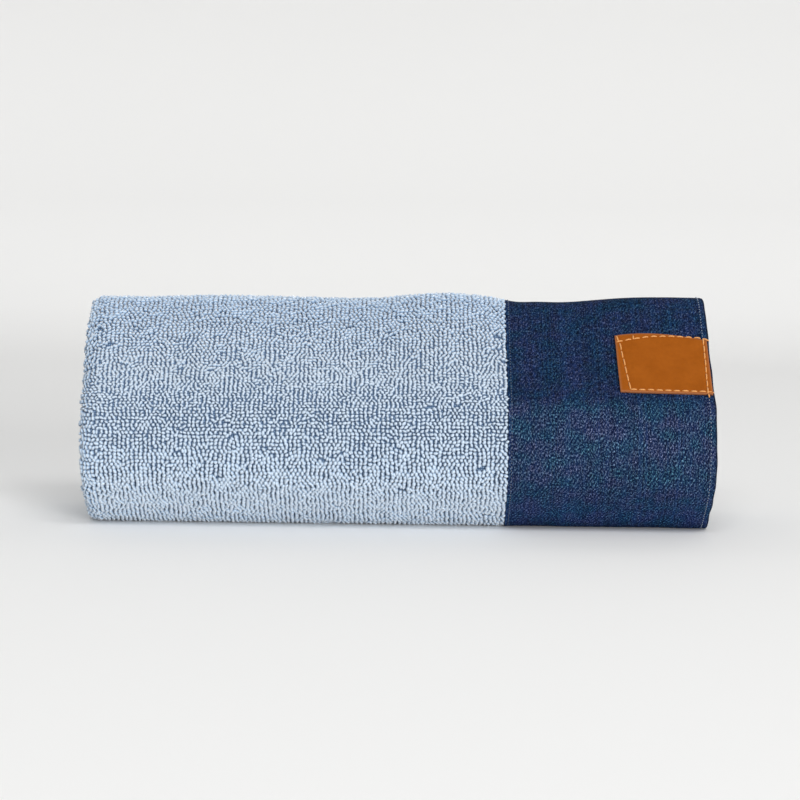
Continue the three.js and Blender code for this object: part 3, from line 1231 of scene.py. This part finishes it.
        # Painted light by place round the roll, added to each loop's random tone.
        fade = np.interp(turns % 1.0, self.painted_light_turns, self.fade)
        tint_and_painted_light = np.repeat(draw.uniform(0.0, 1.0, loops) + fade, len(form))
        height = np.broadcast_to(form[:, 2], (loops, len(form)))
        return joined_mesh(cloth.name, points, quads, {"rise": height, "tint_and_painted_light": tint_and_painted_light})

    def build(self) -> bpy.types.Object:
        """Returns:
            The ground weave.
        """
        ground = self.build_ground()
        pile = self.finish.pile()
        loops = [settle(self.build_pile(cloth), pile) for cloth in self.fields()]
        return ground


@dataclass(frozen=True)
class Stitching:
    """Stitches that dip into the cloth at their ends. Shares are of the thread's radius."""

    shape: RollShape
    radius: float
    seed: int
    rings: int = 7
    sides: int = 6
    end_share: float = 0.25
    rise_share: float = 0.9
    sink_share: float = 0.35
    wander_share: float = 0.12
    ply_share: float = 2.4

    def build(self, name: str, ends: np.ndarray) -> bpy.types.Object:
        """Makes a row of stitches.

        Args:
            name: the piece's name.
            ends: both ends of each stitch on the cloth's face, in metres, stitches by two by three.

        Returns:
            The stitches as one object.
        """
        draw = np.random.default_rng(self.seed)
        centre, radius = self.shape.centre, self.radius * MM
        ahead = ends[:, 1] - ends[:, 0]
        way = unit(ahead)
        out = ends.mean(axis=1)
        out[:, 0] = 0.0
        out[:, 1:] -= np.array([centre.y, centre.z]) * MM + self.shape.origin[1:]
        out = unit(out - way * np.sum(out * way, axis=1, keepdims=True))
        side = np.cross(out, way)
        share = np.linspace(0.0, 1.0, self.rings)
        full = np.sqrt(np.clip(1.0 - (2.0 * share - 1.0) ** 4, 0.0, 1.0))
        swell = full * (1.0 - self.end_share) + self.end_share
        lift = np.sin(math.pi * share) * self.rise_share - self.sink_share
        wander = draw.normal(0.0, self.wander_share * self.radius, (len(ends), 1, 1)) * MM
        line = ends[:, :1] + ahead[:, None] * share[None, :, None] + side[:, None] * wander
        line = line + out[:, None] * (radius * lift)[None, :, None]
        angle = FULL_TURN * np.arange(self.sides) / self.sides
        outward = np.cos(angle)[None, None, :, None] * out[:, None, None]
        sideways = np.sin(angle)[None, None, :, None] * side[:, None, None]
        points = line[:, :, None] + radius * swell[None, :, None, None] * (outward + sideways)
        points[..., 2] = np.maximum(points[..., 2], 0.0)
        length = np.linalg.norm(ahead, axis=1) / MM
        plies = (length / (self.ply_share * self.radius))[:, None, None]
        ply = share[None, :, None] * plies + angle[None, None] / math.pi
        quads = tube_quads(self.rings, self.sides)[:, [0, 3, 2, 1]]
        return joined_mesh(name, points.reshape(len(ends), -1, 3), quads, {"ply": ply})


@dataclass
class DenimBand:
    """The twill band, folded under at the seam and turned in over the end of the cloth.

    Its front below the crease is painted lighter, standing in for the light that falls there, and it is
    fresh at some bearings round the roll: 0 is the front and 90 the top.
    """

    shape: RollShape
    finish: DenimFinish = field(default_factory=DenimFinish)
    thickness: float = 0.8
    face_depth: float = 0.56
    seam_offset: float = 0.8
    seam_reach: float = 0.4
    seam_lead: tuple[float, float] = (0.5, 0.6)
    tuck: float = 7.0
    tuck_depth: float = 1.62
    corner: float = 1.0
    corner_lead: float = 1.4
    end_depth: float = 3.3
    seam_inset: float = 2.0
    end_inset: float = 3.6
    stitch_pitch: float = 2.1
    stitch_length: float = 0.85
    stitch_depth: float = 0.2
    stitch_margin: float = 4.0
    thread_radius: float = 0.25
    thread_seed: int = 5
    pucker: WaveField = WaveField(71, 17.0, 7.0)
    sag: WaveField = WaveField(72, 60.0, 25.0)
    edge_wave: WaveField = WaveField(73, 40.0, 12.0)
    wave_height: float = 0.1
    edge_wave_height: float = 0.3
    edge_reach: float = 7.0
    outer_depth: float = 1.0
    groove_width: float = 0.7
    groove_depth: float = 0.16
    crease_bearing: float = 16.0
    crease_width: float = 6.0
    # Painted light: the front below the crease and the lower front are painted lighter where the light
    # falls.
    painted_light_bearing: float = -7.0
    painted_light_width: float = 42.0
    low_painted_light: float = 0.45
    low_painted_light_bearing: float = -48.0
    low_painted_light_width: float = 15.0
    fresh_bearing: float = -20.0
    fresh_width: float = 24.0
    # Painted shade on the strip before the turned-in edge.
    edge_shade_width: float = 1.5
    edge_shade_share: float = 0.8

    def section(self) -> np.ndarray:
        """Follows the band from its hidden tuck to its turned edge.

        Returns:
            Rows of x and depth.
        """
        seam, end = self.shape.seam_x + self.seam_offset, self.shape.end_x - self.thickness / 2.0
        face, low = self.face_depth, self.face_depth + 2.0 * self.corner
        half_turn, quarter_turn = np.linspace(-90.0, 90.0, 7), np.linspace(-90.0, 0.0, 5)
        return np.concatenate([
            straight_run(seam + self.tuck, seam + self.seam_lead[0], self.tuck_depth, 4),
            fold_bend(seam, (self.tuck_depth, face), -self.seam_reach, half_turn),
            straight_run(seam + self.seam_lead[1], end - self.corner_lead, face, 72),
            fold_bend(end - self.corner, (face, low), self.corner, quarter_turn),
            np.array([(end, low), (end, self.end_depth)]),
        ])

    def lay(self, line: np.ndarray, turns: np.ndarray, along: np.ndarray) -> np.ndarray:
        """Lays the band on the roll, with its puckers, its sag and the grooves of its stitches.

        Args:
            line: x and depth across the band.
            turns: turns along the band.
            along: the cloth's length up to each.

        Returns:
            The points in metres, across by along by three.
        """
        shape, x, depth = self.shape, line[:, :1], line[:, 1:]
        near_seam = np.exp(-np.maximum(x - shape.seam_x, 0.0) / self.edge_reach)
        near_end = np.exp(-np.maximum(shape.end_x - x, 0.0) / self.edge_reach)
        outer = (turns[None, :] < 1.0) & (depth < self.outer_depth)
        puckers = self.pucker(x, along[None, :]) * (near_seam + near_end)
        ease = self.wave_height * (puckers + self.sag(x, along[None, :]))
        groove = sum(bell(x - place, self.groove_width) for place in self.stitch_places())
        lowered = (depth + ease + self.groove_depth * groove).clip(self.thickness / 2.0, self.thickness)
        wave = self.edge_wave_height * self.edge_wave(0.0 * x, along[None, :]) * near_end
        return shape.point(turns[None, :], x + wave, np.where(outer, lowered, depth))

    def painted_light_shade_and_fresh(self, x: np.ndarray, turns: np.ndarray) -> dict[str, np.ndarray]:
        """Works out the band's painted light and shade, and where it is fresh.

        Args:
            x: places across the band, as a column.
            turns: turns along the band.

        Returns:
            The painted light on its front, how fresh it is, and the painted shade on its turned-in edge, at
            each place, across by along.
        """
        degrees = np.degrees(self.shape.bearing(turns))
        # Painted light: lighter on the front below the crease and on the lower front, and left darker on
        # the upper facet above it.
        crease = np.clip((self.crease_bearing - degrees) / self.crease_width + 0.5, 0.0, 1.0)
        worn = crease * bell(degrees - self.painted_light_bearing, self.painted_light_width)
        worn = worn + self.low_painted_light * bell(degrees - self.low_painted_light_bearing, self.low_painted_light_width)
        fresh = np.clip((self.fresh_bearing - degrees) / self.fresh_width, 0.0, 1.0)
        # Painted shade: the last strip before the turned-in edge is painted dark.
        to_edge = self.shape.end_x - self.thickness / 2.0 - x
        turned = np.clip(1.0 - to_edge / self.edge_shade_width, 0.0, 1.0) * self.edge_shade_share
        shares = {"worn": worn, "fresh": fresh, "turned": turned}
        return {name: np.broadcast_to(share, (len(x), len(turns))) for name, share in shares.items()}

    def stitch_places(self) -> tuple[float, float]:
        """Returns x of the two lines of topstitching."""
        return self.shape.seam_x + self.seam_inset, self.shape.end_x - self.end_inset

    def build_topstitch(self, name: str, x: float) -> bpy.types.Object:
        """Builds a line of topstitching round the outer turn.

        Args:
            name: the piece's name.
            x: where the line lies along the roll.

        Returns:
            The stitches as one object.
        """
        steps, lengths = self.shape.winding(0.0, 1.0)
        middles = np.arange(self.stitch_margin, lengths[-1] - self.stitch_margin, self.stitch_pitch)
        half = self.stitch_length / 2.0
        turns = np.interp(np.stack([middles - half, middles + half], axis=1), lengths, steps)
        row = Stitching(self.shape, self.thread_radius, self.thread_seed)
        return row.build(name, self.shape.point(turns, x, self.stitch_depth))

    def build(self) -> bpy.types.Object:
        """Returns:
            The band.
        """
        line, turns = self.section(), self.shape.turn_steps(outer=221, inner=110)
        along = np.interp(turns, *self.shape.winding(0.0, self.shape.turns))
        points, worn = self.lay(line, turns, along), self.painted_light_shade_and_fresh(line[:, :1], turns)
        band = mapped_grid("denim_cloth", points, uncut(line, along), worn)
        thicken(band, self.thickness, 0.0)
        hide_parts("denim_band")
        settle(band, self.finish.cloth())
        lines = (("denim_seam_stitch", Thread.SLATE), ("denim_end_stitch", Thread.PALE))
        threads = [
            settle(self.build_topstitch(name, x), thread.material())
            for (name, thread), x in zip(lines, self.stitch_places())
        ]
        return band


@dataclass(frozen=True)
class Spot:
    """A place on the outer face: x along the roll, and the cloth's length from its free edge."""

    x: float
    along: float


@dataclass(frozen=True)
class SewingLine:
    """A line of stitches through some places on the outer face."""

    spots: tuple[Spot, ...]
    stitch: float
    gap: float


@dataclass
class LeatherPatch:
    """The patch, sewn on the band with golden thread that runs past its edges."""

    shape: RollShape
    finish: LeatherFinish = field(default_factory=LeatherFinish)
    low_left: Spot = Spot(122.4, 177.7)
    low_right: Spot = Spot(173.8, 176.1)
    high_left: Spot = Spot(121.4, 219.1)
    high_right: Spot = Spot(173.4, 215.2)
    arch: float = 2.2
    thickness: float = 1.5
    face_lift: float = 2.05
    crown: float = 0.12
    crown_reach: float = 2.5
    groove_depth: float = 0.3
    groove_width: float = 0.9
    edge_drop: float = 0.15
    edge_reach: float = 0.7
    edge_radius: float = 0.35
    cut_share: float = 0.9
    cut_width: float = 0.8
    thread_radius: float = 0.44
    thread_seed: int = 9
    thread_sink: float = 0.2
    thread_lift: float = 0.35
    right_margin: float = 0.6
    low_margin: float = 0.2
    lines: tuple[SewingLine, ...] = (
        SewingLine((Spot(122.2, 214.0), Spot(131.0, 215.6), Spot(141.0, 217.1), Spot(152.3, 217.5),
                    Spot(164.0, 216.9), Spot(174.9, 216.0)), 3.9, 1.1),
        SewingLine((Spot(128.0, 179.0), Spot(150.0, 178.3), Spot(174.6, 177.4)), 3.9, 1.1),
        SewingLine((Spot(124.0, 213.4), Spot(125.6, 200.0), Spot(128.1, 179.2)), 5.4, 0.25),
        SewingLine((Spot(171.3, 216.4), Spot(171.3, 197.0), Spot(170.9, 176.3)), 5.0, 0.25),
        SewingLine((Spot(170.9, 176.0), Spot(171.6, 173.6)), 2.5, 0.1),
        SewingLine((Spot(131.9, 218.3), Spot(131.7, 215.4)), 3.0, 0.1),
        SewingLine((Spot(122.3, 218.6), Spot(123.3, 214.4)), 4.2, 0.1),
    )

    def __post_init__(self) -> None:
        """Measures the cloth's length along the outer turn."""
        self.steps, self.lengths = self.shape.winding(0.0, 1.0)

    def place(self, x: np.ndarray, along: np.ndarray, lift: np.ndarray) -> np.ndarray:
        """Carries places on the outer face to the towel's frame, lifted off the band."""
        turns = np.interp(along, self.lengths, self.steps)
        return self.shape.point(turns, x, -lift)

    def spread(self, across: np.ndarray, up: np.ndarray) -> tuple[np.ndarray, np.ndarray]:
        """Spreads the patch out, with its arched upper edge.

        Args:
            across: shares across the patch.
            up: shares up the patch.

        Returns:
            x and length along of each place.
        """
        low = between(self.low_left.x, self.low_right.x, across)
        high = between(self.high_left.x, self.high_right.x, across)
        bottom = between(self.low_left.along, self.low_right.along, across)
        top = between(self.high_left.along, self.high_right.along, across)
        top = top + self.arch * (1.0 - (2.0 * across - 1.0) ** 2)
        return between(low, high, up), between(bottom, top, up)

    def to_sewing(self, x: np.ndarray, along: np.ndarray) -> np.ndarray:
        """Measures how far places on the patch lie from the nearest sewing line.

        Args:
            x: places along the roll.
            along: the cloth's length there.

        Returns:
            The distances.
        """
        nearest = np.full(x.shape, np.inf)
        for line in self.lines:
            for start, end in zip(line.spots[:-1], line.spots[1:]):
                run, climb = end.x - start.x, end.along - start.along
                share = ((x - start.x) * run + (along - start.along) * climb) / (run * run + climb * climb)
                share = np.clip(share, 0.0, 1.0)
                apart = np.hypot(x - start.x - share * run, along - start.along - share * climb)
                nearest = np.minimum(nearest, apart)
        return nearest

    def build(self) -> bpy.types.Object:
        """Returns:
            The patch.
        """
        width = self.low_right.x - self.low_left.x
        height = self.high_left.along - self.low_left.along
        across, up = np.meshgrid(np.linspace(0.0, 1.0, 73), np.linspace(0.0, 1.0, 61), indexing="ij")
        x, along = self.spread(across, up)
        to_edge = np.minimum(np.minimum(across, 1.0 - across) * width, np.minimum(up, 1.0 - up) * height)
        crown = self.crown * (1.0 - np.exp(-to_edge / self.crown_reach))
        groove = self.groove_depth * bell(self.to_sewing(x, along), self.groove_width)
        drop = self.edge_drop * np.exp(-to_edge / self.edge_reach)
        points = self.place(x, along, self.face_lift + crown - groove - drop)
        flat = np.stack([across * width, up * height], axis=-1) * MM
        cut = self.cut_share * bell(to_edge, self.cut_width)
        patch = mapped_grid("leather_piece", points, flat, {"cut": cut})
        thicken(patch, self.thickness, -1.0)
        round_edge = patch.modifiers.new("worn edge", "BEVEL")
        round_edge.width = self.edge_radius * MM
        round_edge.segments = 3
        round_edge.limit_method = "ANGLE"
        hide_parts("leather_patch")
        settle(patch, self.finish.hide())
        threads = settle(self.build_sewing(), Thread.GOLDEN.material())
        return patch

    def build_sewing(self) -> bpy.types.Object:
        """Builds the golden stitches along all the sewing lines.

        Returns:
            The stitches as one object.
        """
        ends = []
        for line in self.lines:
            spots = np.array([(spot.x, spot.along) for spot in line.spots])
            run = run_lengths(spots)
            length = run[-1] + line.gap
            count = max(1, round(length / (line.stitch + line.gap)))
            step = length / count
            for number in range(count):
                x, along = at_lengths(spots, run, number * step + np.array([0.0, step - line.gap])).T
                on_leather = x < self.high_right.x + self.right_margin
                on_leather = on_leather & (along > self.low_right.along - self.low_margin)
                lift = np.where(on_leather, self.face_lift - self.thread_sink, self.thread_lift)
                ends.append(self.place(x, along, lift))
        row = Stitching(self.shape, self.thread_radius, self.thread_seed)
        return row.build("patch_sewing", np.array(ends))


@dataclass(frozen=True)
class SoftLight:
    """A soft rectangular light: its place and aim in metres, its width and height, and its watts."""

    name: str
    place: Place
    aim: Place
    size: tuple[float, float]
    power: float

    def lamp(self) -> bpy.types.Light:
        """Makes the lamp.

        Returns:
            The lamp, not yet hung.
        """
        lamp = bpy.data.lights.new(self.name, "AREA")
        lamp.shape = "RECTANGLE"
        lamp.size, lamp.size_y = self.size
        lamp.energy = self.power
        return lamp


@dataclass(frozen=True)
class FarLight:
    """A soft light from so far away that it falls evenly: its spread is in degrees."""

    name: str
    place: Place
    aim: Place
    spread: float
    strength: float
    tone: Colour

    def lamp(self) -> bpy.types.Light:
        """Makes the lamp.

        Returns:
            The lamp, not yet hung.
        """
        lamp = bpy.data.lights.new(self.name, "SUN")
        lamp.angle = math.radians(self.spread)
        lamp.energy = self.strength
        lamp.color = self.tone
        return lamp


@dataclass
class Studio:
    """The pale sweep, the soft light and the camera. The sweep's sizes are in metres."""

    shape: RollShape
    camera_place: Place = (0.1, -1252.5, 200.0)
    camera_elevation: float = 6.0
    camera_tilt: float = 0.74
    lens: float = 98.28
    sensor: float = 36.0
    sweep_tone: Colour = (0.9, 0.9, 0.895)
    # Painted shade: the sweep's colour darkens with height up the backdrop.
    sweep_shade: tuple[tuple[float, float], ...] = ((0.04, 1.0), (0.16, 0.87), (0.42, 0.76))
    sweep_radius: float = 0.95
    sweep_start: float = 1.0
    sweep_height: float = 4.0
    sweep_reach: float = 30.0
    bend_steps: int = 16
    room_glow: float = 0.35
    key: FarLight = FarLight("key", (1.5, -2.8, 0.55), (0.0, 0.0, 0.05), 19.0, 2.1, (1.0, 0.995, 0.985))
    boom: SoftLight = SoftLight("boom", (0.4, -1.8, 2.2), (0.0, 0.0, 0.05), (2.4, 1.0), 38.6)

    def build_sweep(self) -> None:
        """Builds the floor that curves up into the backdrop."""
        reach, radius, back = self.sweep_reach, self.sweep_radius, self.sweep_start
        bend = np.linspace(0.0, math.pi / 2.0, self.bend_steps)
        curve = [(back + radius * math.sin(angle), radius - radius * math.cos(angle)) for angle in bend]
        profile = [(-reach, 0.0), *curve, (back + radius, self.sweep_height)]
        shape = bmesh.new()
        verts = [shape.verts.new((-reach, y, z)) for y, z in profile]
        edges = [shape.edges.new(pair) for pair in zip(verts[:-1], verts[1:])]
        made = bmesh.ops.extrude_edge_only(shape, edges=edges)["geom"]
        moved = [item for item in made if isinstance(item, bmesh.types.BMVert)]
        bmesh.ops.translate(shape, verts=moved, vec=(2.0 * reach, 0.0, 0.0))
        bmesh.ops.recalc_face_normals(shape, faces=shape.faces)
        mesh = bpy.data.meshes.new("floor")
        shape.to_mesh(mesh)
        shape.free()
        floor = linked("floor", mesh)
        mesh.materials.append(self.sweep_finish())

    def sweep_finish(self) -> bpy.types.Material:
        """Makes the finish of the sweep, with painted shade that deepens up the backdrop.

        Returns:
            The material.
        """
        material, effect = new_material("pale sweep")
        height = effect.add("SeparateXYZ", {0: effect.object_place()}).outputs["Z"]
        heights, shares = zip(*self.sweep_shade)
        shades = tuple(tuple(share * tone for tone in self.sweep_tone) for share in shares)
        mottle = Mottle.tone(effect, scale=1.5, amount=0.02)
        # Painted shade: darker by height up the backdrop.
        colour = effect.times(effect.ramp(height, heights, shades), mottle)
        close_material(effect, {"Base Color": colour, "Roughness": 0.8, "Specular IOR Level": 0.2})
        return material

    def hang(self, light: SoftLight | FarLight) -> None:
        """Hangs a light in its place and turns it to its aim.

        Args:
            light: the light.
        """
        holder = bpy.data.objects.new(light.name, light.lamp())
        holder.location = light.place
        holder.rotation_mode = "QUATERNION"
        holder.rotation_quaternion = (Vector(light.aim) - Vector(light.place)).to_track_quat("-Z", "Y")
        bpy.context.scene.collection.objects.link(holder)

    def build_light(self) -> None:
        """Builds the studio light and the even glow of the room."""
        self.hang(self.key)
        self.hang(self.boom)
        world = bpy.data.worlds.new("room")
        world.use_nodes = True
        glow = world.node_tree.nodes["Background"]
        glow.inputs["Color"].default_value = (1.0, 1.0, 1.0, 1.0)
        glow.inputs["Strength"].default_value = self.room_glow
        bpy.context.scene.world = world

    def build_camera(self) -> None:
        """Builds the camera at the photograph's viewing angle."""
        lens = bpy.data.cameras.new("camera")
        lens.sensor_width = self.sensor
        lens.lens = self.lens
        camera = bpy.data.objects.new("camera", lens)
        rise = math.radians(self.camera_elevation)
        ahead = Vector((0.0, math.cos(rise), -math.sin(rise)))
        camera.location = Vector(self.shape.origin) + Vector(self.camera_place) * MM
        camera.rotation_mode = "QUATERNION"
        tilt = Quaternion((0.0, 0.0, 1.0), math.radians(self.camera_tilt))
        camera.rotation_quaternion = ahead.to_track_quat("-Z", "Y") @ tilt
        bpy.context.scene.collection.objects.link(camera)
        bpy.context.scene.camera = camera

    def build(self) -> None:
        """Builds the sweep, the light and the camera."""
        self.build_sweep()
        self.build_light()
        self.build_camera()
        bpy.context.scene.view_settings.view_transform = "Standard"


def main() -> None:
    """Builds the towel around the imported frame."""
    logging.basicConfig(level=logging.INFO, format="%(name)s: %(message)s")
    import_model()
    shape = RollShape()
    shape.place_in_frame(*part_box("denim_band"))
    Studio(shape).build()
    TerryCloth(shape).build()
    DenimBand(shape).build()
    LeatherPatch(shape).build()


if __name__ == "__main__":
    main()
